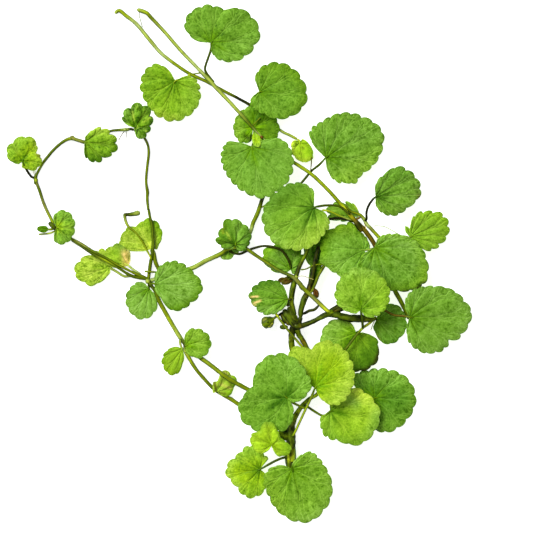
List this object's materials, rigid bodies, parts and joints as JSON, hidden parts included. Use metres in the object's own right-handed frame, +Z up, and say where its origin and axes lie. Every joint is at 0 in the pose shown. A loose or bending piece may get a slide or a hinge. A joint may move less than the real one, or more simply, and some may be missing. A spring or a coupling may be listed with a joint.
{
  "type": "creeping water plant with round leaves, picked",
  "caption": "Picked creeping water plant laid flat: thin branching runners with round scalloped leaves, a knotted crown and small buds.",
  "frame": {"origin": "middle of the plant's plan, on the surface that it lies on", "axes": "+Z up from the surface; +Y towards the free tips of the two long runners, the top of the picture; +X to the picture's right"},
  "size_m": [0.1856, 0.2059, 0.0106],
  "materials": {
    "leaf": "mid-green living leaf, softly satin, with paler veins",
    "young_leaf": "bright yellow-green young leaf, softly satin",
    "shaded_leaf": "dark green older leaf, softly satin",
    "dying_leaf": "olive-yellow withering tissue, dull",
    "runner": "juicy green stem, satin, browner at its nodes",
    "crown": "dark olive-brown older stem, satin"
  },
  "bodies": {
    "root": {"leaf_upper_1": "leaf", "leaf_upper_2": "leaf", "leaf_upper_3": "leaf", "leaf_upper_4": "shaded_leaf", "leaf_upper_5": "leaf", "leaf_upper_6": "young_leaf", "leaf_upper_7": "leaf", "leaf_centre_1": "leaf", "leaf_centre_2": "leaf", "leaf_centre_3": "young_leaf", "leaf_centre_4": "shaded_leaf", "leaf_centre_5": "shaded_leaf", "leaf_centre_6": "leaf", "leaf_centre_7": "leaf", "leaf_centre_8": "shaded_leaf", "leaf_right_1": "leaf", "leaf_right_2": "leaf", "leaf_right_3": "leaf", "leaf_right_4": "leaf", "leaf_right_5": "shaded_leaf", "leaf_lower_1": "shaded_leaf", "leaf_lower_2": "shaded_leaf", "leaf_lower_3": "young_leaf", "leaf_lower_4": "young_leaf", "leaf_lower_5": "leaf", "leaf_lower_6": "young_leaf", "leaf_lower_7": "young_leaf", "leaf_lower_8": "leaf", "leaf_left_1": "leaf", "leaf_left_2": "leaf", "leaf_left_3": "leaf", "leaf_left_4": "leaf", "leaf_left_5": "young_leaf", "leaf_left_6": "young_leaf", "leaf_left_7": "young_leaf", "leaf_left_8": "shaded_leaf", "leaf_left_9": "leaf", "leaf_left_10": "leaf", "leaf_left_11": "leaf", "leaf_left_12": "shaded_leaf", "leaf_left_13": "dying_leaf", "bud_left": "runner", "bud_crown": "dying_leaf", "crown": "crown", "stem_crown_left": "crown", "stem_crown_right": "crown", "trunk": "crown", "stem_over_crown": "runner", "stem_diagonal": "runner", "stem_right": "runner", "stem_upper": "runner", "runner_top_left": "runner", "runner_top_right": "runner", "runner_middle": "runner", "runner_low_left": "runner", "runner_low_right": "runner", "runner_loop_low": "runner", "runner_loop_far": "runner", "runner_loop_side": "runner"}
  },
  "joints": []
}
